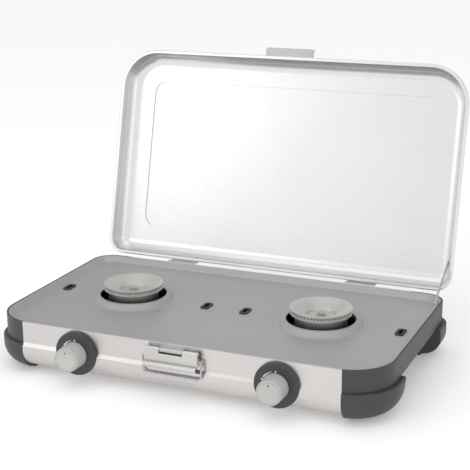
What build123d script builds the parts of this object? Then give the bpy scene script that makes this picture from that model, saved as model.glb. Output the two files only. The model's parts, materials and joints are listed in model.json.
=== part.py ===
from build123d import *
import math
import os

# Two-burner camp stove with a hinged lid. Millimetres, +Z up, +X along the width.
# Everything is drawn about the centre of the base, on the floor. The lid's pieces are drawn
# shut and swung open at the end, when every piece is moved so that the origin is under the
# middle of the whole stove as it stands open.

# Base
BASE_W = 520.0
BASE_D = 297.0
RIM_Z = 70.0
FRONT_R = 56.0
REAR_R = 28.0
SHEET = 1.0
PANEL_X = 211.0
FLOOR_Z = 8.0
STEP_TOP_Z = 42.5
STEP_Z = 38.0
STEP = 3.0
STEP_R = 1.6
CURVE_R = 24.0
HALF_D = BASE_D / 2

# End caps
SIDE_BULGE = 6.0
CAP_BOTTOM_Z = 3.0
CAP_CURVE_R = 27.0
CAP_WALL = 3.0
LIP = 2.5
FIT = 0.2
RECESS_X = 229.0
RECESS_FRONT_Y = -72.0
RECESS_REAR_Y = 92.0
RECESS_TOP_Z = 42.0
RECESS_FRONT_SLOPE = 24.0
RECESS_REAR_SLOPE = 8.0
RECESS_R = 17.0
FOOT_IN_X = 212.0
FOOT_IN_Y = 100.0
FOOT_INSET = CAP_CURVE_R + 1.0
STUD_X = 225.0
STUD_Y = 110.0
STUD_R = 3.0
STUD_L = 7.0

# Hob plate
HOB_Z = RIM_Z - 7.0
FLANGE = 4.5
BORDER = 8.0
LEDGE = FLANGE - 0.2
BURNER_X = 133.0
BURNER_Y = 4.0
COLLAR_HOLE_R = 44.5
COLLAR_R = 57.0
SOCKET_OUTER_X = 235.5
SOCKET_INNER_X = 27.5
SOCKET_Y = 9.0
SOCKET_RIM = (11.5, 22.5, 4.5)
SOCKET_RIM_H = 1.4
SOCKET_BODY = (8.8, 19.8, 3.4)
SOCKET_HOLE = (9.0, 20.0, 3.5)
SOCKET_DEPTH = 10.0
SLOT_W = 5.0
SLOT_L = 14.0

# Burners
CUP_R = 33.5
CROWN_R = 38.5
HEAD_R = 40.0
HEAD_TOP_Z = RIM_Z + 15.0
CROWN_TOP_Z = HEAD_TOP_Z - 1.5
CROWN_BOTTOM_Z = CROWN_TOP_Z - 6.0
PORTS = 56
PORT_R = 1.1
PORT_Z = CROWN_TOP_Z - 2.2
CUP_SHEET = 1.5
CUP_BOTTOM_Z = 51.5
CUP_TOP_Z = CROWN_BOTTOM_Z - 0.5
CHAMBER_R = 16.0
CHAMBER_BOTTOM_Z = 27.0
VENTURI_R = 10.0
VENTURI_MOUTH_R = 12.0
VENTURI_FRONT_Y = -94.0

# Gas line and controls: the jets and the venturi tubes lie on the knobs' axes
KNOB_X = 133.0
KNOB_Z = 40.0
BEZEL_R = 28.0
BEZEL_FACE_Y = -HALF_D - 6.0
KNOB_BACK_Y = BEZEL_FACE_Y - 0.8
KNOB_FRONT_Y = BEZEL_FACE_Y - 23.5
KNOB_BASE_R = 16.5
KNOB_FACE_R = 15.0
GROOVE_R = 13.5
SPINDLE_R = 3.0
SPINDLE_L = 42.0
SPINDLE_HOLE_R = 5.0
VALVE_R = 7.5
VALVE_L = 29.0
NUT_R = 10.0
RUN = 0.05
PIPE_R = 4.0
PIPE_Y = -112.0
INLET_X = -190.0
INLET_Z = 54.0
INLET_NUT_H = 7.0
STUB_R = 4.5
STUB_L = 22.0

# Lid, hinges and stay
LID_W = 521.0
LID_D = 303.6
LID_REAR_Y = 152.8
LID_GAP = 0.8
LID_FRONT_R = 56.0
LID_REAR_R = 23.0
BEAD = 3.5
LID_DEPTH = 31.0
LID_CURVE_R = 18.0
EMBOSS_MARGIN = 41.5
EMBOSS_R = 21.0
EMBOSS_H = 2.0
LID_OPEN = 104.0
LID_Y = LID_REAR_Y - LID_D / 2
LID_Z = RIM_Z + LID_GAP
HINGE_X = 135.0
HINGE_Y = 158.0
HINGE_Z = RIM_Z - 5.0
BARREL_R = 4.0
PIN_R = 1.5
KNUCKLE = 8.4
KNUCKLES = 5
RIVET_X = 15.5
RIVET_R = 2.4
STAY_X = 252.4
STAY_Y = 111.0
STAY_Z = 71.5
STAY_L = 78.7
STAY_RISE = 27.2
STAY_RATIO = 1.44
NOTCH_STEPS = 16
NOTCH_STEP_DEG = 1.5
WIRE_R = 1.5

# Latch
LEVER_HALF_W = 35.0
LATCH_PIN_Y = -HALF_D - 6.0
LATCH_PIN_Z = 64.0
BAIL_PIN_Z = 55.0
BAIL_X = 38.5
BAIL_DROP = 23.0
BAIL_R = 1.25
BAIL_BEND_R = 5.0
CURL_R = 3.0
LIP_R = 3.5
TAB_HALF_W = 15.0

# The origin lies this far behind the base's centre, under the middle of the open stove.
ORIGIN_Y = 42.0

SIDES = (("left", -1), ("right", 1))
SOCKETS = (
    ("outer_left", -SOCKET_OUTER_X),
    ("inner_left", -SOCKET_INNER_X),
    ("inner_right", SOCKET_INNER_X),
    ("outer_right", SOCKET_OUTER_X),
)
UPWARD = (Align.CENTER, Align.CENTER, Align.MIN)
pieces = {}
lid_pieces = {}


def outline(height, grow=0.0, side_grow=None):
    """The base's plan outline at a height, larger by grow at front and back and side_grow at the ends."""
    side_grow = grow if side_grow is None else side_grow
    with BuildSketch(Plane.XY.offset(height)) as plan:
        Rectangle(BASE_W + 2 * side_grow, BASE_D + 2 * grow)
        fillet(plan.vertices().group_by(Axis.Y)[0], FRONT_R + grow)
        fillet(plan.vertices().group_by(Axis.Y)[-1], REAR_R + grow)
    return plan.sketch


def hand_recess(wall=0.0):
    """The space for the fingers at the right end, wider at the bottom; wall makes it larger all round."""
    outer_x = BASE_W / 2 + 20
    plans = []
    for height, front_y, rear_y in (
        (0, RECESS_FRONT_Y - RECESS_FRONT_SLOPE, RECESS_REAR_Y + RECESS_REAR_SLOPE),
        (RECESS_TOP_Z + wall, RECESS_FRONT_Y, RECESS_REAR_Y),
    ):
        with BuildSketch(Plane.XY.offset(height)) as plan:
            with Locations((outer_x, (front_y + rear_y) / 2)):
                RectangleRounded(2 * (outer_x - RECESS_X + wall), rear_y - front_y + 2 * wall,
                                 RECESS_R + wall)
        plans.append(plan.sketch)
    return loft(plans)


def lid_outline(height, grow=0.0):
    """The lid's plan outline at a height above its rim plane, larger by grow all round."""
    with BuildSketch(Plane.XY.offset(LID_Z + height)) as plan:
        with Locations((0, LID_Y)):
            Rectangle(LID_W + 2 * grow, LID_D + 2 * grow)
        fillet(plan.vertices().group_by(Axis.Y)[0], LID_FRONT_R + grow)
        fillet(plan.vertices().group_by(Axis.Y)[-1], LID_REAR_R + grow)
    return plan.sketch


def tray_section(inset, top_z):
    """The tray's cross-section across the stove: upright band, rounded step, curve into the floor."""
    curve_y = HALF_D + STEP - CURVE_R
    curve_z = FLOOR_Z + CURVE_R
    with BuildSketch(Plane.YZ) as section:
        with BuildLine():
            FilletPolyline(
                (0, top_z),
                (HALF_D - inset, top_z),
                (HALF_D - inset, STEP_TOP_Z),
                (HALF_D + STEP - inset, STEP_Z),
                (HALF_D + STEP - inset, curve_z),
                radius=(0.01, STEP_R, STEP_R),
            )
            CenterArc((curve_y, curve_z), CURVE_R - inset, 0, -90)
            Line((curve_y, FLOOR_Z + inset), (0, FLOOR_Z + inset))
            mirror(about=Plane.YZ)
        make_face()
    return section.sketch


# ---------------------------------------------------------------- base shell and hob plate

with BuildPart() as tray_solid:
    extrude(tray_section(0, RIM_Z), amount=PANEL_X, both=True)

with BuildPart() as body_shell:
    add(tray_solid.part)
    extrude(tray_section(SHEET, RIM_Z - 2), amount=PANEL_X - SHEET, both=True, mode=Mode.SUBTRACT)
    # room for the sunk plate over the end walls, then the pocket that its flange sits in
    with BuildSketch(Plane.XY.offset(HOB_Z - 1)):
        Rectangle(2 * PANEL_X, BASE_D - 2 * LEDGE)
    extrude(amount=8, mode=Mode.SUBTRACT)
    with BuildSketch(Plane.XY.offset(RIM_Z - 1)):
        Rectangle(2 * PANEL_X, BASE_D - 2 * LIP)
    extrude(amount=1, mode=Mode.SUBTRACT)
    # holes for the valve spindles and the gas inlet
    with Locations(Plane((-KNOB_X, -HALF_D, KNOB_Z), z_dir=(0, -1, 0)),
                   Plane((KNOB_X, -HALF_D, KNOB_Z), z_dir=(0, -1, 0))):
        Cylinder(SPINDLE_HOLE_R, 12, mode=Mode.SUBTRACT)
    with Locations(Plane((INLET_X, HALF_D, INLET_Z), z_dir=(0, 1, 0))):
        Cylinder(6, 6, mode=Mode.SUBTRACT)
pieces["body_shell"] = body_shell.part

# raised lip round each burner opening: (radius, height) of the pressed sheet
COLLAR_SECTION = (
    (COLLAR_R, HOB_Z - 1), (COLLAR_R, HOB_Z), (54, HOB_Z + 1), (50.5, HOB_Z + 5.5),
    (48, RIM_Z), (COLLAR_HOLE_R, RIM_Z), (COLLAR_HOLE_R, RIM_Z - 1), (47.4, RIM_Z - 1),
    (49.6, HOB_Z + 4.8), (53, HOB_Z), (53, HOB_Z - 1),
)

with BuildPart() as hob_plate:
    loft([outline(HOB_Z - 1, -FLANGE - BORDER), outline(RIM_Z - 1, -FLANGE)])
    extrude(outline(RIM_Z - 1, -LIP - FIT), amount=1)
    loft([outline(HOB_Z, -FLANGE - BORDER), outline(RIM_Z, -FLANGE)], mode=Mode.SUBTRACT)
    for burner_x in (-BURNER_X, BURNER_X):
        with Locations((burner_x, BURNER_Y, HOB_Z)):
            Cylinder(COLLAR_R - 1, 6, mode=Mode.SUBTRACT)
        with BuildSketch(Plane((burner_x, BURNER_Y, 0), x_dir=(1, 0, 0), z_dir=(0, -1, 0))):
            Polygon(*COLLAR_SECTION, align=None)
        revolve(axis=Axis((burner_x, BURNER_Y, 0), (0, 0, 1)))
    with BuildSketch(Plane.XY.offset(HOB_Z - 2)):
        for place, socket_x in SOCKETS:
            with Locations((socket_x, SOCKET_Y)):
                RectangleRounded(*SOCKET_HOLE)
    extrude(amount=3, mode=Mode.SUBTRACT)
pieces["hob_plate"] = hob_plate.part

# ---------------------------------------------------------------- end caps and feet

with BuildPart() as cap_solid:
    extrude(outline(CAP_BOTTOM_Z, STEP, SIDE_BULGE), amount=STEP_TOP_Z - 1 - CAP_BOTTOM_Z)
    fillet(cap_solid.faces().sort_by(Axis.Z)[0].edges(), CAP_CURVE_R)
    fillet(cap_solid.faces().sort_by(Axis.Z)[-1].edges(), 2.5)
    extrude(outline(STEP_TOP_Z - 6), amount=RIM_Z - STEP_TOP_Z + 6)

recess_wall = hand_recess(CAP_WALL)

with BuildPart() as cap_cavity:
    extrude(outline(FLOOR_Z + CAP_WALL, STEP - CAP_WALL, SIDE_BULGE - CAP_WALL),
            amount=STEP_TOP_Z - 5 - FLOOR_Z - CAP_WALL)
    fillet(cap_cavity.faces().sort_by(Axis.Z)[0].edges(), CAP_CURVE_R - 2 * CAP_WALL)
    extrude(outline(STEP_TOP_Z - 8, -LEDGE), amount=RIM_Z - STEP_TOP_Z + 8)
    extrude(outline(RIM_Z - 1, -LIP), amount=1)
    # the wall round the hand recess stays solid
    add(recess_wall, mode=Mode.SUBTRACT)

recess = hand_recess()

with BuildPart() as cap_right:
    add(cap_solid.part)
    add(cap_cavity.part, mode=Mode.SUBTRACT)
    split(bisect_by=Plane.YZ.offset(PANEL_X))
    # arched hand recess between the feet, and the lower edge raised between them
    add(recess, mode=Mode.SUBTRACT)
    with Locations((RECESS_X, 0, 0)):
        Box(80, 2 * FOOT_IN_Y - 4, 2 * FLOOR_Z, mode=Mode.SUBTRACT)
    # stud holes for the rubber feet
    with Locations((STUD_X, -STUD_Y, CAP_BOTTOM_Z), (STUD_X, STUD_Y, CAP_BOTTOM_Z)):
        Cylinder(STUD_R + 0.1, 2 * (STUD_L + 2), mode=Mode.SUBTRACT)
pieces["end_cap_right"] = cap_right.part
pieces["end_cap_left"] = cap_right.part.mirror(Plane.YZ)

for side, sign in SIDES:
    for end, y_sign in (("front", -1), ("rear", 1)):
        with BuildPart() as foot:
            extrude(outline(0, STEP - FOOT_INSET, SIDE_BULGE - FOOT_INSET), amount=CAP_BOTTOM_Z)
            with Locations((sign * (FOOT_IN_X + 50), y_sign * (FOOT_IN_Y + 50), 0)):
                Box(100, 100, 2 * CAP_BOTTOM_Z, mode=Mode.INTERSECT)
            with Locations((sign * STUD_X, y_sign * STUD_Y, CAP_BOTTOM_Z)):
                Cylinder(STUD_R, STUD_L, align=UPWARD)
        pieces[f"foot_{end}_{side}"] = foot.part

# ---------------------------------------------------------------- pan-support sockets

for place, socket_x in SOCKETS:
    with BuildPart() as socket:
        with BuildSketch(Plane.XY.offset(HOB_Z)):
            with Locations((socket_x, SOCKET_Y)):
                RectangleRounded(*SOCKET_RIM)
        extrude(amount=SOCKET_RIM_H)
        with BuildSketch(Plane.XY.offset(HOB_Z - SOCKET_DEPTH)):
            with Locations((socket_x, SOCKET_Y)):
                RectangleRounded(*SOCKET_BODY)
        extrude(amount=SOCKET_DEPTH)
        with Locations((socket_x, SOCKET_Y, HOB_Z + SOCKET_RIM_H)):
            Box(SLOT_W, SLOT_L, SOCKET_DEPTH, align=(Align.CENTER, Align.CENTER, Align.MAX), mode=Mode.SUBTRACT)
    pieces[f"socket_{place}"] = socket.part

# ---------------------------------------------------------------- burners

for side, sign in SIDES:
    burner_x = sign * BURNER_X
    burner_axis = Axis((burner_x, BURNER_Y, 0), (0, 0, 1))
    burner_plane = Plane((burner_x, BURNER_Y, 0), x_dir=(1, 0, 0), z_dir=(0, -1, 0))

    # pressed cup under the head, with its mixing chamber and venturi tube
    with BuildPart() as cup:
        with BuildSketch(burner_plane):
            Polygon(
                (0, CHAMBER_BOTTOM_Z), (CHAMBER_R, CHAMBER_BOTTOM_Z), (CHAMBER_R, CUP_BOTTOM_Z),
                (CUP_R, CUP_BOTTOM_Z), (CUP_R, CUP_TOP_Z), (0, CUP_TOP_Z), align=None)
        revolve(axis=burner_axis)
        with Locations(Plane((burner_x, VENTURI_FRONT_Y, KNOB_Z), z_dir=(0, 1, 0))):
            Cylinder(VENTURI_R, BURNER_Y - VENTURI_FRONT_Y, align=UPWARD)
            Cylinder(VENTURI_MOUTH_R, 6, align=UPWARD)
            Cylinder(VENTURI_R - CUP_SHEET, BURNER_Y - VENTURI_FRONT_Y - 2, align=UPWARD,
                     mode=Mode.SUBTRACT)
        with BuildSketch(burner_plane):
            Polygon(
                (0, CHAMBER_BOTTOM_Z + CUP_SHEET), (CHAMBER_R - CUP_SHEET, CHAMBER_BOTTOM_Z + CUP_SHEET),
                (CHAMBER_R - CUP_SHEET, CUP_BOTTOM_Z + CUP_SHEET), (CUP_R - CUP_SHEET, CUP_BOTTOM_Z + CUP_SHEET),
                (CUP_R - CUP_SHEET, CUP_TOP_Z), (0, CUP_TOP_Z), align=None)
        revolve(axis=burner_axis, mode=Mode.SUBTRACT)
    pieces[f"burner_cup_{side}"] = cup.part

    # ring of flame ports that sits on the cup, with a bead along its lower edge
    with BuildPart() as crown:
        with BuildSketch(burner_plane):
            Polygon(
                (CUP_R, CROWN_BOTTOM_Z - 2), (CUP_R + 1.5, CROWN_BOTTOM_Z - 2),
                (CUP_R + 1.5, CROWN_BOTTOM_Z), (CROWN_R + 0.8, CROWN_BOTTOM_Z),
                (CROWN_R + 0.8, CROWN_BOTTOM_Z + 1), (CROWN_R, CROWN_BOTTOM_Z + 1.4),
                (CROWN_R, CROWN_TOP_Z), (CUP_R + 1.5, CROWN_TOP_Z),
                (CUP_R + 1.5, CROWN_BOTTOM_Z + 1.2), (CUP_R - 2, CROWN_BOTTOM_Z + 1.2),
                (CUP_R - 2, CUP_TOP_Z), (CUP_R, CUP_TOP_Z), align=None)
        revolve(axis=burner_axis)
        with Locations((burner_x, BURNER_Y, PORT_Z)):
            with PolarLocations(CROWN_R - 1.5, PORTS):
                Cylinder(PORT_R, 8, rotation=(0, 90, 0), mode=Mode.SUBTRACT)
    pieces[f"burner_crown_{side}"] = crown.part

    # dished top plate with its flat lip and sunk centre
    with BuildPart() as dish:
        with BuildSketch(burner_plane):
            Polygon((0, 73), (18.5, 73), (19.5, 75.5), (34.5, CROWN_TOP_Z), (HEAD_R, CROWN_TOP_Z),
                    (HEAD_R, HEAD_TOP_Z), (36, HEAD_TOP_Z), (18.5, 77), (17.5, 74.5), (0, 74.5),
                    align=None)
        revolve(axis=burner_axis)
        with Locations((burner_x, BURNER_Y, 74)):
            Cylinder(2, 6, mode=Mode.SUBTRACT)
    pieces[f"burner_dish_{side}"] = dish.part

    with BuildPart() as screw:
        with BuildSketch(burner_plane):
            Polygon((0, CHAMBER_BOTTOM_Z + CUP_SHEET), (2, CHAMBER_BOTTOM_Z + CUP_SHEET), (2, 74.5), (7, 74.5), (7, 75.5), (4, 75.5), (4, 77.5),
                    (3, 78), (0, 78), align=None)
        revolve(axis=burner_axis)
    pieces[f"burner_screw_{side}"] = screw.part

    # hat-shaped bracket from the tray's floor to the mixing chamber
    with BuildPart() as bracket:
        with BuildSketch(burner_plane):
            with BuildLine():
                Polyline((-42, 9.75), (-24, 9.75), (-20, 26.25), (20, 26.25), (24, 9.75), (42, 9.75))
                offset(amount=0.7, side=Side.BOTH)
            make_face()
        extrude(amount=12, both=True)
    pieces[f"burner_bracket_{side}"] = bracket.part

# ---------------------------------------------------------------- valves, gas line and knobs

for side, sign in SIDES:
    knob_x = sign * KNOB_X
    front = Plane((knob_x, -HALF_D, KNOB_Z), z_dir=(0, 1, 0))
    knob_axis = Axis((knob_x, 0, KNOB_Z), (0, 1, 0))
    knob_plane = Plane((knob_x, 0, KNOB_Z), x_dir=(1, 0, 0), z_dir=(0, 0, 1))

    with BuildPart() as valve:
        with Locations(front.offset(SHEET + 0.2)):
            Cylinder(VALVE_R, VALVE_L, align=UPWARD)
        with BuildSketch(front.offset(SHEET + STEP)):
            RegularPolygon(NUT_R, 6)
        extrude(amount=4)
        with Locations((knob_x, PIPE_Y, KNOB_Z)):
            Box(2 * VALVE_R, 14, 2 * VALVE_R)
        with Locations(front):
            Cylinder(SPINDLE_R + RUN, 20, align=UPWARD,
                     mode=Mode.SUBTRACT)
        with Locations(Plane((knob_x, PIPE_Y, KNOB_Z), z_dir=(1, 0, 0))):
            Cylinder(PIPE_R, 20, mode=Mode.SUBTRACT)
    pieces[f"valve_{side}"] = valve.part

    # brass jet that blows into the venturi
    with BuildPart() as jet:
        with BuildSketch(knob_plane):
            Polygon((0, PIPE_Y + 7), (4.5, PIPE_Y + 7), (4.5, PIPE_Y + 12), (2, PIPE_Y + 16),
                    (0, PIPE_Y + 16), align=None)
        revolve(axis=knob_axis)
    pieces[f"jet_{side}"] = jet.part

    # dial plate, shaped to the step in the front panel
    with BuildPart() as bezel:
        with Locations(Plane((knob_x, BEZEL_FACE_Y, KNOB_Z), z_dir=(0, 1, 0))):
            Cylinder(BEZEL_R, 18, align=UPWARD)
        fillet(bezel.edges().sort_by(Axis.Y)[0], 2)
        add(tray_solid.part, mode=Mode.SUBTRACT)
        with Locations(front):
            Cylinder(SPINDLE_HOLE_R, 30, mode=Mode.SUBTRACT)
    pieces[f"bezel_{side}"] = bezel.part

    with BuildPart() as knob:
        with BuildSketch(knob_plane):
            Polygon(
                (SPINDLE_R, KNOB_BACK_Y), (KNOB_BASE_R, KNOB_BACK_Y), (KNOB_FACE_R + 0.6, KNOB_FRONT_Y + 1.8),
                (KNOB_FACE_R, KNOB_FRONT_Y + 0.6), (KNOB_FACE_R - 0.6, KNOB_FRONT_Y),
                (GROOVE_R + 0.3, KNOB_FRONT_Y), (GROOVE_R + 0.3, KNOB_FRONT_Y + 0.6),
                (GROOVE_R - 0.3, KNOB_FRONT_Y + 0.6), (GROOVE_R - 0.3, KNOB_FRONT_Y),
                (0, KNOB_FRONT_Y), (0, KNOB_FRONT_Y + 4), (SPINDLE_R, KNOB_FRONT_Y + 4), align=None)
        revolve(axis=knob_axis)
    pieces[f"knob_{side}"] = knob.part

    with BuildPart() as spindle:
        with Locations(Plane((knob_x, KNOB_FRONT_Y + 4, KNOB_Z), z_dir=(0, 1, 0))):
            Cylinder(SPINDLE_R, SPINDLE_L, align=UPWARD)
    pieces[f"spindle_{side}"] = spindle.part

# feed pipe from the inlet forward and along behind the front panel
with BuildPart() as gas_pipe:
    with BuildLine() as route:
        FilletPolyline((INLET_X, HALF_D - 20, INLET_Z), (INLET_X, 60, INLET_Z), (INLET_X, 30, KNOB_Z),
                       (INLET_X, PIPE_Y, KNOB_Z), (KNOB_X + 6, PIPE_Y, KNOB_Z), radius=16)
    with BuildSketch(Plane((INLET_X, HALF_D - 20, INLET_Z), z_dir=(0, -1, 0))):
        Circle(PIPE_R)
    sweep()
pieces["gas_pipe"] = gas_pipe.part

with BuildPart() as gas_inlet:
    rear = Plane((INLET_X, HALF_D, INLET_Z), z_dir=(0, 1, 0))
    with Locations(rear.offset(-20)):
        Cylinder(5.8, 20, align=UPWARD)
    with BuildSketch(rear):
        RegularPolygon(NUT_R, 6)
    extrude(amount=INLET_NUT_H)
    with Locations(rear.offset(INLET_NUT_H)):
        Cylinder(STUB_R, STUB_L, align=UPWARD)
    with Locations(rear.offset(-15)):
        Cylinder(2.5, 60, align=UPWARD, mode=Mode.SUBTRACT)
pieces["gas_inlet"] = gas_inlet.part

# ---------------------------------------------------------------- lid

EMBOSS_W = LID_W - 2 * EMBOSS_MARGIN
EMBOSS_D = LID_D - 2 * EMBOSS_MARGIN
EMBOSS_Z = LID_Z + LID_DEPTH - EMBOSS_H

with BuildPart() as lid_core:
    extrude(lid_outline(0, -BEAD - SHEET), amount=LID_DEPTH - EMBOSS_H - SHEET)
    fillet(lid_core.faces().sort_by(Axis.Z)[-1].edges(), LID_CURVE_R - SHEET)
    with BuildSketch(Plane.XY.offset(EMBOSS_Z - SHEET - 1)):
        with Locations((0, LID_Y)):
            RectangleRounded(EMBOSS_W - 2 * SHEET, EMBOSS_D - 2 * SHEET, EMBOSS_R - SHEET)
    extrude(amount=EMBOSS_H + 1)

with BuildPart() as lid_shell:
    extrude(lid_outline(0, -BEAD), amount=LID_DEPTH - EMBOSS_H)
    fillet(lid_shell.faces().sort_by(Axis.Z)[-1].edges(), LID_CURVE_R)
    with BuildSketch(Plane.XY.offset(EMBOSS_Z - 1)):
        with Locations((0, LID_Y)):
            RectangleRounded(EMBOSS_W, EMBOSS_D, EMBOSS_R)
    extrude(amount=EMBOSS_H + 1)
    add(lid_core.part, mode=Mode.SUBTRACT)

# rolled bead round the lid's rim
with BuildPart() as bead_solid:
    extrude(lid_outline(0), amount=BEAD)
    fillet(bead_solid.faces().sort_by(Axis.Z)[0].edges(), 1.6)
    fillet(bead_solid.faces().sort_by(Axis.Z)[-1].edges(), 1.6)
    extrude(lid_outline(0, -BEAD - SHEET), amount=BEAD, mode=Mode.SUBTRACT)

with BuildPart() as lid:
    add(lid_shell.part)
    add(bead_solid.part)
lid_pieces["lid_shell"] = lid.part

LID_FRONT_WALL_Y = LID_REAR_Y - LID_D + BEAD
LID_REAR_WALL_Y = LID_REAR_Y - BEAD
CATCH_W = 70.0
CATCH_OUT = 11.5
CATCH_Z = 0.4
CATCH_WALL = 2.5
CATCH_TOP = 15.0
UPSTAND_H = 9.2
TROUGH_H = 5.2

# catch on the lid's front wall: a trough with an upstand that the wire loop hooks over
with BuildPart() as lid_catch:
    tongue_y = LID_REAR_Y - LID_D - CATCH_OUT
    catch_wall_y = LID_FRONT_WALL_Y - CATCH_WALL
    with BuildSketch(Plane.YZ):
        Polygon(
            (tongue_y, LID_Z + CATCH_Z + 1),
            (tongue_y, LID_Z + UPSTAND_H),
            (tongue_y + CATCH_WALL, LID_Z + UPSTAND_H),
            (tongue_y + CATCH_WALL, LID_Z + TROUGH_H),
            (catch_wall_y, LID_Z + TROUGH_H),
            (catch_wall_y, LID_Z + CATCH_TOP),
            (LID_FRONT_WALL_Y, LID_Z + CATCH_TOP),
            (LID_FRONT_WALL_Y, LID_Z + CATCH_Z),
            (tongue_y + 1, LID_Z + CATCH_Z),
            align=None,
        )
    extrude(amount=CATCH_W / 2, both=True)
    corners = lid_catch.edges().filter_by(Axis.Z).group_by(Axis.Y)[0]
    fillet(corners, 2.4)
    add(bead_solid.part, mode=Mode.SUBTRACT)
lid_pieces["lid_catch"] = lid_catch.part

# ---------------------------------------------------------------- hinges


def barrel(hinge_x, first):
    """Every second knuckle of a hinge, starting at the first or second, with the bore for the pin."""
    start = hinge_x - KNUCKLE * (KNUCKLES - 1) / 2
    for i in range(first, KNUCKLES, 2):
        with Locations(Plane((start + i * KNUCKLE, HINGE_Y, HINGE_Z), z_dir=(1, 0, 0))):
            Cylinder(BARREL_R, KNUCKLE - 0.3)


def leaf(hinge_x, section, first):
    """A hinge leaf: its bent section along the hinge, notched clear of the other leaf's knuckles."""
    width = KNUCKLE * KNUCKLES
    start = hinge_x - KNUCKLE * (KNUCKLES - 1) / 2
    with BuildSketch(Plane.YZ.offset(hinge_x)) as bent:
        Polygon(*section, align=None)
    extrude(bent.sketch, amount=(width - 0.3) / 2, both=True)
    for i in range(1 - first, KNUCKLES, 2):
        with Locations(Plane((start + i * KNUCKLE, HINGE_Y, HINGE_Z), z_dir=(1, 0, 0))):
            Cylinder(BARREL_R + 0.6, KNUCKLE + 0.3, mode=Mode.SUBTRACT)
    barrel(hinge_x, first)
    with Locations(Plane((hinge_x, HINGE_Y, HINGE_Z), z_dir=(1, 0, 0))):
        Cylinder(PIN_R + RUN * first, width + 2, mode=Mode.SUBTRACT)


LEAF = 1.2
BASE_LEAF_SECTION = (
    (HALF_D, 46), (HALF_D + LEAF, 46), (HALF_D + LEAF, HINGE_Z - BARREL_R),
    (HINGE_Y, HINGE_Z - BARREL_R), (HINGE_Y, HINGE_Z - BARREL_R + LEAF),
    (HALF_D, HINGE_Z - BARREL_R + LEAF),
)
LID_LEAF_TOP = LID_Z + 13
LID_LEAF_BEND = LID_Z + BEAD + 1.5
LID_LEAF_SECTION = (
    (HINGE_Y - BARREL_R, HINGE_Z), (HINGE_Y - BARREL_R + LEAF, HINGE_Z),
    (HINGE_Y - BARREL_R + LEAF, LID_LEAF_BEND + LEAF), (LID_REAR_WALL_Y + LEAF, LID_LEAF_BEND + LEAF),
    (LID_REAR_WALL_Y + LEAF, LID_LEAF_TOP), (LID_REAR_WALL_Y, LID_LEAF_TOP),
    (LID_REAR_WALL_Y, LID_LEAF_BEND), (HINGE_Y - BARREL_R, LID_LEAF_BEND),
)

for side, sign in SIDES:
    hinge_x = sign * HINGE_X
    with BuildPart() as base_leaf:
        leaf(hinge_x, BASE_LEAF_SECTION, 0)
    pieces[f"hinge_base_leaf_{side}"] = base_leaf.part
    with BuildPart() as lid_leaf:
        leaf(hinge_x, LID_LEAF_SECTION, 1)
    lid_pieces[f"hinge_lid_leaf_{side}"] = lid_leaf.part
    with BuildPart() as hinge_pin:
        with Locations(Plane((hinge_x, HINGE_Y, HINGE_Z), z_dir=(1, 0, 0))):
            Cylinder(PIN_R, KNUCKLE * KNUCKLES)
    pieces[f"hinge_pin_{side}"] = hinge_pin.part

# rivets through the lid's wall and the base's rear wall
RIVETS = (-HINGE_X - RIVET_X, -HINGE_X + RIVET_X, HINGE_X - RIVET_X, HINGE_X + RIVET_X)
with BuildPart() as lid_rivets:
    for rivet_x in RIVETS:
        with Locations(Plane((rivet_x, LID_REAR_WALL_Y + LEAF, LID_Z + 9), z_dir=(0, 1, 0))):
            Cylinder(RIVET_R, 1, align=UPWARD)
        with Locations(Plane((rivet_x, LID_REAR_WALL_Y - SHEET, LID_Z + 9), z_dir=(0, -1, 0))):
            Cylinder(RIVET_R, 1.5, align=UPWARD)
lid_pieces["lid_rivets"] = lid_rivets.part

with BuildPart() as base_rivets:
    for rivet_x in RIVETS:
        with Locations(Plane((rivet_x, HALF_D + LEAF, 51), z_dir=(0, 1, 0))):
            Cylinder(RIVET_R, 1.2, align=UPWARD)
pieces["base_rivets"] = base_rivets.part

# ---------------------------------------------------------------- lid stay

hinge_axis = Axis((0, HINGE_Y, HINGE_Z), (1, 0, 0))
WALL_X = LID_W / 2 - BEAD - SHEET
LUG_X = STAY_X + WIRE_R + 0.2
LUG_T = 1.5
TIP_Y = STAY_Y + STAY_L * math.cos(math.radians(STAY_RISE))
TIP_Z = STAY_Z + STAY_L * math.sin(math.radians(STAY_RISE))

# lug on the right flange of the hob plate, with the stay's pivot hole
with BuildPart() as stay_lug:
    with BuildSketch(Plane.YZ.offset(LUG_X)):
        with Locations((STAY_Y, RIM_Z)):
            RectangleRounded(9, 6.8, 3)
        with Locations((STAY_Y, RIM_Z)):
            Rectangle(9, 6, align=(Align.CENTER, Align.MAX), mode=Mode.SUBTRACT)
    extrude(amount=LUG_T)
    with Locations((LUG_X, STAY_Y, RIM_Z)):
        Box(LUG_T, 14, 0.8, align=(Align.MIN, Align.CENTER, Align.MIN))
    with Locations(Plane((LUG_X, STAY_Y, STAY_Z), z_dir=(1, 0, 0))):
        Cylinder(WIRE_R + 0.1, 6, mode=Mode.SUBTRACT)
pieces["stay_lug"] = stay_lug.part

# bent wire: pivot end, straight run, and the hooked tip that rests in the lid's notch
with BuildPart() as stay_rod:
    with BuildLine():
        FilletPolyline((LUG_X + LUG_T + 0.3, STAY_Y, STAY_Z), (STAY_X, STAY_Y, STAY_Z),
                       (STAY_X, TIP_Y, TIP_Z), (LUG_X + LUG_T + 0.1, TIP_Y, TIP_Z), radius=WIRE_R + 0.1)
    with BuildSketch(Plane((LUG_X + LUG_T + 0.3, STAY_Y, STAY_Z), z_dir=(-1, 0, 0))):
        Circle(WIRE_R)
    sweep()
pieces["stay_rod"] = stay_rod.part

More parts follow.
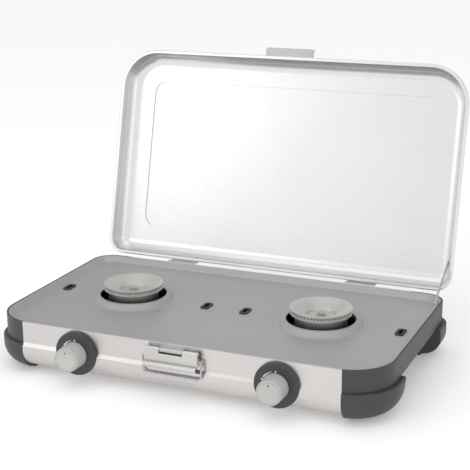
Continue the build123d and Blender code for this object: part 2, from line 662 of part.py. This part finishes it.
# notched plate inside the lid's right wall: the notch follows the wire's tip as it leaves
with BuildPart() as stay_bracket:
    with BuildSketch(Plane.YZ.offset(LUG_X)):
        with Locations((LID_REAR_Y - 43, LID_Z + 7.4)):
            RectangleRounded(20, 8.4, 2)
    extrude(amount=WALL_X - 0.1 - LUG_X)
    for step in range(NOTCH_STEPS):
        folded = step * NOTCH_STEP_DEG
        rod_angle = math.radians(STAY_RISE + STAY_RATIO * folded)
        tip = Vector(0, STAY_Y + STAY_L * math.cos(rod_angle), STAY_Z + STAY_L * math.sin(rod_angle))
        tip_shut = tip.sub(hinge_axis.position).rotate(Axis.X, LID_OPEN - folded).add(hinge_axis.position)
        with Locations(Plane((LUG_X, tip_shut.Y, tip_shut.Z), z_dir=(1, 0, 0))):
            Cylinder(WIRE_R + 0.6, 10, mode=Mode.SUBTRACT)
lid_pieces["stay_bracket"] = stay_bracket.part

# ---------------------------------------------------------------- latch

latch_axis_plane = Plane((0, LATCH_PIN_Y, LATCH_PIN_Z), z_dir=(1, 0, 0))

with BuildPart() as latch_bracket:
    with BuildSketch(Plane.XZ.offset(HALF_D)):
        with Locations((0, 56)):
            RectangleRounded(62, 21, 2)
    extrude(amount=LEAF)
    # middle tab, bent out and curled round the lever's pin
    with BuildSketch(Plane.YZ):
        with Locations((LATCH_PIN_Y, LATCH_PIN_Z)):
            Circle(CURL_R)
        with Locations((-HALF_D, LATCH_PIN_Z + CURL_R)):
            Rectangle(-LATCH_PIN_Y - HALF_D, LEAF, align=(Align.MAX, Align.MAX))
    extrude(amount=TAB_HALF_W, both=True)
    with Locations(latch_axis_plane):
        Cylinder(PIN_R, 80, mode=Mode.SUBTRACT)
pieces["latch_bracket"] = latch_bracket.part

with BuildPart() as latch_pin:
    with Locations(latch_axis_plane):
        Cylinder(PIN_R, 2 * LEVER_HALF_W - 1)
pieces["latch_pin"] = latch_pin.part

with BuildPart() as latch_rivets:
    with Locations(*[Plane((x, -HALF_D - LEAF, z), z_dir=(0, -1, 0)) for x in (-24, 24) for z in (49, 60)]):
        Cylinder(RIVET_R, 1.0, align=UPWARD)
pieces["latch_rivets"] = latch_rivets.part

# lever: two ears on the pin, a flat plate, and a lip curled outward along its lower edge
with BuildPart() as latch_lever:
    plate_y = LATCH_PIN_Y - CURL_R
    with BuildSketch(Plane.YZ):
        with Locations((plate_y, 46)):
            Rectangle(LEAF, 14, align=(Align.CENTER, Align.MIN))
        with Locations((plate_y - LIP_R + LEAF / 2, 46)):
            Circle(LIP_R)
            Circle(LIP_R - LEAF, mode=Mode.SUBTRACT)
    extrude(amount=LEVER_HALF_W, both=True)
    with BuildSketch(Plane.YZ):
        with Locations((LATCH_PIN_Y, LATCH_PIN_Z)):
            Circle(CURL_R)
        with Locations((plate_y, 56)):
            Rectangle(LEAF, LATCH_PIN_Z - 56, align=(Align.CENTER, Align.MIN))
    extrude(amount=LEVER_HALF_W, both=True)
    with Locations((0, LATCH_PIN_Y, LATCH_PIN_Z + 1)):
        Box(2 * TAB_HALF_W + 1, 4 * CURL_R, 10, mode=Mode.SUBTRACT)
    # side cheeks that carry the wire loop
    with BuildSketch(Plane.YZ):
        with Locations((plate_y, BAIL_PIN_Z)):
            RectangleRounded(12, 9, 3)
        with Locations((plate_y - LEAF / 2, BAIL_PIN_Z)):
            Rectangle(12, 12, align=(Align.MAX, Align.CENTER), mode=Mode.SUBTRACT)
    extrude(amount=LEVER_HALF_W, both=True)
    with Locations((0, plate_y + LEAF / 2, BAIL_PIN_Z)):
        Box(2 * (LEVER_HALF_W - LEAF), 12, 9, align=(Align.CENTER, Align.MIN, Align.CENTER),
            mode=Mode.SUBTRACT)
    with Locations(latch_axis_plane):
        Cylinder(PIN_R + RUN, 80, mode=Mode.SUBTRACT)
    with Locations(Plane((0, LATCH_PIN_Y, BAIL_PIN_Z), z_dir=(1, 0, 0))):
        Cylinder(BAIL_R + 0.1, 80, mode=Mode.SUBTRACT)
pieces["latch_lever"] = latch_lever.part

with BuildPart() as latch_bail:
    eye_x = LEVER_HALF_W - 2 * LEAF
    bar_z = BAIL_PIN_Z - BAIL_DROP
    with BuildLine():
        FilletPolyline((-eye_x, LATCH_PIN_Y, BAIL_PIN_Z), (-BAIL_X, LATCH_PIN_Y, BAIL_PIN_Z),
                       (-BAIL_X, LATCH_PIN_Y, bar_z), (BAIL_X, LATCH_PIN_Y, bar_z),
                       (BAIL_X, LATCH_PIN_Y, BAIL_PIN_Z), (eye_x, LATCH_PIN_Y, BAIL_PIN_Z),
                       radius=(2, BAIL_BEND_R, BAIL_BEND_R, 2))
    with BuildSketch(Plane((-eye_x, LATCH_PIN_Y, BAIL_PIN_Z), z_dir=(-1, 0, 0))):
        Circle(BAIL_R)
    sweep()
pieces["latch_bail"] = latch_bail.part

# ---------------------------------------------------------------- place and write every piece

os.makedirs("parts", exist_ok=True)
for name, piece in lid_pieces.items():
    pieces[name] = piece.rotate(hinge_axis, -LID_OPEN)
for name, piece in pieces.items():
    placed = piece.moved(Location((0, -ORIGIN_Y, 0)))
    placed.label = name
    export_step(placed, f"parts/{name}.step")
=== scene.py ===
"""Looks of the camp stove: materials on every CAD node, printed marks, floor, light and camera."""
import json
import math

import bmesh
import bpy
from mathutils import Matrix, Vector
from mathutils.bvhtree import BVHTree


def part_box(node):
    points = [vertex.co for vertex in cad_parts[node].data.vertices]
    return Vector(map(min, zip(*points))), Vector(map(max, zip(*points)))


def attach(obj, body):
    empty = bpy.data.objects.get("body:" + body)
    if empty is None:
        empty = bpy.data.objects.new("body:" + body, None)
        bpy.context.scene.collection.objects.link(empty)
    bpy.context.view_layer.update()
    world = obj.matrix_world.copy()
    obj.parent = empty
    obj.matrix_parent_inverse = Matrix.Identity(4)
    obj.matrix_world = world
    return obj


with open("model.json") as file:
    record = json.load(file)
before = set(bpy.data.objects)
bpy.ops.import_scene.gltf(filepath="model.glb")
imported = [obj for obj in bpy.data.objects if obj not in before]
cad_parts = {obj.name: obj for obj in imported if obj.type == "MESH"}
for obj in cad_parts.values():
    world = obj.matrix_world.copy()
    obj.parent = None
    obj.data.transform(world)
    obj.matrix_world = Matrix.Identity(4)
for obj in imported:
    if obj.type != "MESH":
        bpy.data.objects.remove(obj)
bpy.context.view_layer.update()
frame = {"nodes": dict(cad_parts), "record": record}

MM = 0.001
SIDES = ("left", "right")


# ------------------------------------------------------------------ shader helpers

class Surface:
    """A node material built around one Principled shader, textured in the object's own metres."""

    def __init__(self, name, **inputs):
        self.material = bpy.data.materials.new(name)
        self.material.use_nodes = True
        self.nodes = self.material.node_tree.nodes
        self.links = self.material.node_tree.links
        self.shader = self.nodes["Principled BSDF"]
        self.place = self.nodes.new("ShaderNodeTexCoord").outputs["Object"]
        for socket, value in inputs.items():
            self.shader.inputs[socket.replace("_", " ")].default_value = value

    def stretched(self, scale):
        mapping = self.nodes.new("ShaderNodeMapping")
        mapping.inputs["Scale"].default_value = scale
        self.links.new(self.place, mapping.inputs["Vector"])
        return mapping.outputs["Vector"]

    def noise(self, scale, detail=3.0, stretch=(1, 1, 1)):
        texture = self.nodes.new("ShaderNodeTexNoise")
        texture.inputs["Scale"].default_value = scale
        texture.inputs["Detail"].default_value = detail
        self.links.new(self.stretched(stretch), texture.inputs["Vector"])
        return texture.outputs["Fac"]

    def spread(self, value, low, high):
        """Maps a 0..1 texture value, which lies mostly between 0.3 and 0.7, to low..high."""
        span = self.nodes.new("ShaderNodeMapRange")
        span.inputs["From Min"].default_value = 0.3
        span.inputs["From Max"].default_value = 0.7
        span.inputs["To Min"].default_value = low
        span.inputs["To Max"].default_value = high
        self.links.new(value, span.inputs["Value"])
        return span.outputs["Result"]

    def tint(self, value, dark, light):
        ramp = self.nodes.new("ShaderNodeValToRGB")
        ramp.color_ramp.elements[0].position = 0.3
        ramp.color_ramp.elements[0].color = (*dark, 1)
        ramp.color_ramp.elements[1].position = 0.7
        ramp.color_ramp.elements[1].color = (*light, 1)
        self.links.new(value, ramp.inputs["Fac"])
        self.links.new(ramp.outputs["Color"], self.shader.inputs["Base Color"])

    def roughness(self, value, low, high):
        self.links.new(self.spread(value, low, high), self.shader.inputs["Roughness"])

    def bump(self, value, height, strength=1.0):
        bump = self.nodes.new("ShaderNodeBump")
        bump.inputs["Distance"].default_value = height
        bump.inputs["Strength"].default_value = strength
        self.links.new(value, bump.inputs["Height"])
        self.links.new(bump.outputs["Normal"], self.shader.inputs["Normal"])


def shaded(colour, factor):
    return tuple(channel * factor for channel in colour)


def brushed(name, colour, grain=(1, 60, 60), low=0.26, high=0.40, metallic=1.0, mottling=0.05):
    """Sheet metal brushed along the axis whose grain scale is smallest."""
    surface = Surface(name, Metallic=metallic)
    lines = surface.noise(28, 4.0, grain)
    clouds = surface.noise(7, 2.0)
    surface.tint(clouds, shaded(colour, 1 - mottling), shaded(colour, 1 + mottling))
    surface.roughness(lines, low, high)
    surface.bump(lines, 0.00004, 0.35)
    return surface.material


def moulded(name, colour, low, high, grain_scale=1400, depth=0.00005, strength=0.4, coat=0.0):
    """Moulded plastic or rubber with a fine spark-eroded texture."""
    surface = Surface(name, Metallic=0.0, Coat_Weight=coat)
    grain = surface.noise(grain_scale, 2.0)
    clouds = surface.noise(18, 2.0)
    surface.tint(clouds, shaded(colour, 0.93), shaded(colour, 1.07))
    surface.roughness(grain, low, high)
    surface.bump(grain, depth, strength)
    return surface.material


def coated(name, colour, low, high):
    """Matt metallic coating over sheet steel: fine sparkle and an orange-peel skin."""
    surface = Surface(name, Metallic=0.35, Specular_IOR_Level=0.4)
    fleck = surface.noise(900, 2.0)
    clouds = surface.noise(5, 2.0)
    surface.tint(clouds, shaded(colour, 0.96), shaded(colour, 1.04))
    surface.roughness(fleck, low, high)
    surface.bump(fleck, 0.00003, 0.3)
    return surface.material


def cast(name, colour):
    """Satin die-cast or pressed alloy with a faint granular skin."""
    surface = Surface(name, Metallic=0.75)
    grain = surface.noise(700, 3.0)
    clouds = surface.noise(40, 2.0)
    surface.tint(clouds, shaded(colour, 0.94), shaded(colour, 1.05))
    surface.roughness(grain, 0.34, 0.48)
    surface.bump(grain, 0.00005, 0.35)
    return surface.material


# ------------------------------------------------------------------ materials by slot

FINISHES = {
    "brushed_steel": brushed("front_steel", (0.63, 0.61, 0.60), low=0.24, high=0.36),
    "lid_steel": brushed("lid_steel", (0.74, 0.74, 0.75), low=0.24, high=0.34, mottling=0.02),
    "hob_enamel": coated("hob_coating", (0.41, 0.41, 0.425), 0.40, 0.50),
    "cap_plastic": moulded("cap_plastic", (0.044, 0.043, 0.049), 0.42, 0.56),
    "foot_rubber": moulded("foot_rubber", (0.022, 0.022, 0.022), 0.70, 0.85, 900),
    "socket_plastic": moulded("socket_plastic", (0.012, 0.012, 0.013), 0.45, 0.60),
    "burner_alloy": cast("burner_alloy", (0.60, 0.585, 0.56)),
    "burner_steel": brushed("burner_steel", (0.52, 0.50, 0.47), (40, 40, 2), 0.34, 0.46),
    "brass": brushed("brass", (0.72, 0.53, 0.22), (50, 3, 50), 0.22, 0.34),
    "gas_pipe": brushed("pipe_aluminium", (0.70, 0.70, 0.70), (40, 40, 40), 0.30, 0.42),
    "zinc_steel": brushed("zinc_steel", (0.50, 0.50, 0.515), (30, 30, 30), 0.20, 0.32),
    "latch_steel": brushed("latch_steel", (0.60, 0.585, 0.57), (2, 60, 60), 0.22, 0.34),
    "knob_plastic": moulded("knob_plastic", (0.50, 0.50, 0.485), 0.26, 0.36, 1100, coat=0.15),
}

slot_of = {row["node"]: row["material_slot"] for row in frame["record"]["subparts"]}
for node, piece in frame["nodes"].items():
    piece.data.materials.clear()
    piece.data.materials.append(FINISHES[slot_of[node]])

# ------------------------------------------------------------------ printed marks

PRINT_LIFT = 0.08 * MM
PRINT_DEPTH = 0.14 * MM
PROBE_BACK = 10 * MM
ARC_STEPS = 28
DOT_STEPS = 24
DOT_MARGIN = 0.02
MARK_R = 18.0
FLAME_ARC = (14.0, 58.0)
FLAME_HALF_WIDTH = (0.2, 0.85)
OFF_DOT_R = 1.1
FULL_DOT_R = 1.3
FULL_ANGLE = 68
POINTER_PLACE_R = 9.5
POINTER_DOT_R = 1.1

white_print = moulded("white_print", (0.80, 0.80, 0.79), 0.40, 0.50)
black_print = moulded("black_print", (0.020, 0.020, 0.021), 0.45, 0.60)


def polar(angle, radius):
    """Across and up from a control's axis, at an angle in degrees anticlockwise from its top."""
    turn = math.radians(angle)
    return -radius * math.sin(turn), radius * math.cos(turn)


def band(start, end, half_widths, radius):
    """Strip along an arc, its half width running from the first value to the second."""
    rows = []
    for step in range(ARC_STEPS + 1):
        part = step / ARC_STEPS
        half = half_widths[0] + (half_widths[1] - half_widths[0]) * part
        angle = start + (end - start) * part
        rows.append((polar(angle, radius - half), polar(angle, radius + half)))
    return rows


def dot(centre, radius):
    """Disc as a fan of narrow strips across it."""
    rows = []
    for step in range(DOT_STEPS + 1):
        turn = math.pi * (DOT_MARGIN + (1 - 2 * DOT_MARGIN) * step / DOT_STEPS)
        across, rise = -radius * math.cos(turn), radius * math.sin(turn)
        rows.append(((centre[0] + across, centre[1] - rise), (centre[0] + across, centre[1] + rise)))
    return rows


def printed(name, rows, node, body, paint):
    """Thin closed film on the front of a CAD node, from rows of point pairs about its axis."""
    low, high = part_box(node)
    centre_x, centre_z = (low[0] + high[0]) / 2, (low[2] + high[2]) / 2
    base = frame["nodes"][node].data
    points = [vertex.co.copy() for vertex in base.vertices]
    ground = BVHTree.FromPolygons(points, [tuple(face.vertices) for face in base.polygons])
    film = bmesh.new()
    columns = []
    for pair in rows:
        column = []
        for across, rise in pair:
            start = Vector((centre_x + across * MM, low[1] - PROBE_BACK, centre_z + rise * MM))
            hit = ground.ray_cast(start, Vector((0, 1, 0)))[0]
            column.append(film.verts.new(hit - Vector((0, PRINT_LIFT, 0))))
        columns.append(column)
    for (a, b), (c, d) in zip(columns, columns[1:]):
        film.faces.new((a, b, d, c))
    bmesh.ops.recalc_face_normals(film, faces=film.faces)
    bmesh.ops.solidify(film, geom=list(film.faces), thickness=PRINT_DEPTH)
    bmesh.ops.recalc_face_normals(film, faces=film.faces)
    mesh = bpy.data.meshes.new(name)
    film.to_mesh(mesh)
    film.free()
    mesh.materials.append(paint)
    piece = bpy.data.objects.new(name, mesh)
    bpy.context.scene.collection.objects.link(piece)
    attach(piece, body)


for side in SIDES:
    bezel, knob = "bezel_" + side, "knob_" + side
    dial_marks = {
        "print_off_": dot(polar(0, MARK_R), OFF_DOT_R),
        "print_arc_": band(*FLAME_ARC, FLAME_HALF_WIDTH, MARK_R),
        "print_full_": dot(polar(FULL_ANGLE, MARK_R), FULL_DOT_R),
    }
    for stem, rows in dial_marks.items():
        printed(stem + side, rows, bezel, "base", white_print)
    pointer = dot(polar(0, POINTER_PLACE_R), POINTER_DOT_R)
    printed("print_pointer_" + side, pointer, knob, knob, black_print)

# ------------------------------------------------------------------ floor, light and camera

bpy.ops.mesh.primitive_plane_add(size=60, location=(0, 0, -0.0004))
floor = bpy.context.object
floor.name = "floor"
floor_paint = Surface("floor_paint", Roughness=0.85, Emission_Color=(1, 1, 1, 1), Emission_Strength=0.21)
floor_paint.tint(floor_paint.noise(0.4), (0.93, 0.93, 0.93), (0.94, 0.94, 0.94))
floor.data.materials.append(floor_paint.material)

world = bpy.data.worlds.new("studio")
world.use_nodes = True
ROOM_TOWARDS = (0.0, -0.80, -0.60)
ROOM_SPAN = (-0.9, 0.5)
ROOM_STRENGTH = (0.62, 1.04)
sky, join = world.node_tree.nodes, world.node_tree.links
sky["Background"].inputs["Color"].default_value = (1, 1, 1, 1)
# the room is bright towards the front and dimmer towards the back and overhead
room = sky.new("ShaderNodeVectorMath")
room.operation = "DOT_PRODUCT"
room.inputs[1].default_value = ROOM_TOWARDS
join.new(sky.new("ShaderNodeTexCoord").outputs["Generated"], room.inputs[0])
fall = sky.new("ShaderNodeMapRange")
fall.inputs["From Min"].default_value = ROOM_SPAN[0]
fall.inputs["From Max"].default_value = ROOM_SPAN[1]
fall.inputs["To Min"].default_value = ROOM_STRENGTH[0]
fall.inputs["To Max"].default_value = ROOM_STRENGTH[1]
join.new(room.outputs["Value"], fall.inputs["Value"])
join.new(fall.outputs["Result"], sky["Background"].inputs["Strength"])
bpy.context.scene.world = world


def softbox(name, place, target, width, height, power):
    light = bpy.data.lights.new(name, "AREA")
    light.shape = "RECTANGLE"
    light.size = width
    light.size_y = height
    light.energy = power
    lamp = bpy.data.objects.new(name, light)
    lamp.location = place
    lamp.rotation_euler = (Vector(target) - Vector(place)).to_track_quat("-Z", "Y").to_euler()
    bpy.context.scene.collection.objects.link(lamp)


softbox("overhead", (0.0, -0.2, 2.2), (0, 0, 0.1), 2.4, 2.0, 7)
softbox("front_left", (-1.6, -1.9, 1.3), (0, 0, 0.15), 1.4, 1.4, 5)
softbox("front_right", (1.9, -1.5, 0.9), (0, 0, 0.15), 1.0, 1.4, 2)

# Camera: looks from the front right and a little above
AZIMUTH = math.radians(23.18)
ELEVATION = math.radians(16.19)
ROLL = math.radians(-0.44)
CAMERA_PLACE = (0.6053, -1.4149, 0.6016)
FRAME_PX = 470
FOCAL_PX = 1221.4

camera_data = bpy.data.cameras.new("camera")
camera_data.sensor_width = 36.0
camera_data.lens = FOCAL_PX * camera_data.sensor_width / FRAME_PX
camera = bpy.data.objects.new("camera", camera_data)
back = Vector((math.sin(AZIMUTH) * math.cos(ELEVATION), -math.cos(AZIMUTH) * math.cos(ELEVATION),
               math.sin(ELEVATION)))
across = Vector((0, 0, 1)).cross(back).normalized()
upright = back.cross(across)
facing = Matrix((across, upright, back)).transposed().to_4x4()
camera.matrix_world = Matrix.Translation(CAMERA_PLACE) @ facing @ Matrix.Rotation(ROLL, 4, "Z")
bpy.context.scene.collection.objects.link(camera)
bpy.context.scene.camera = camera
bpy.context.scene.view_settings.view_transform = "Standard"
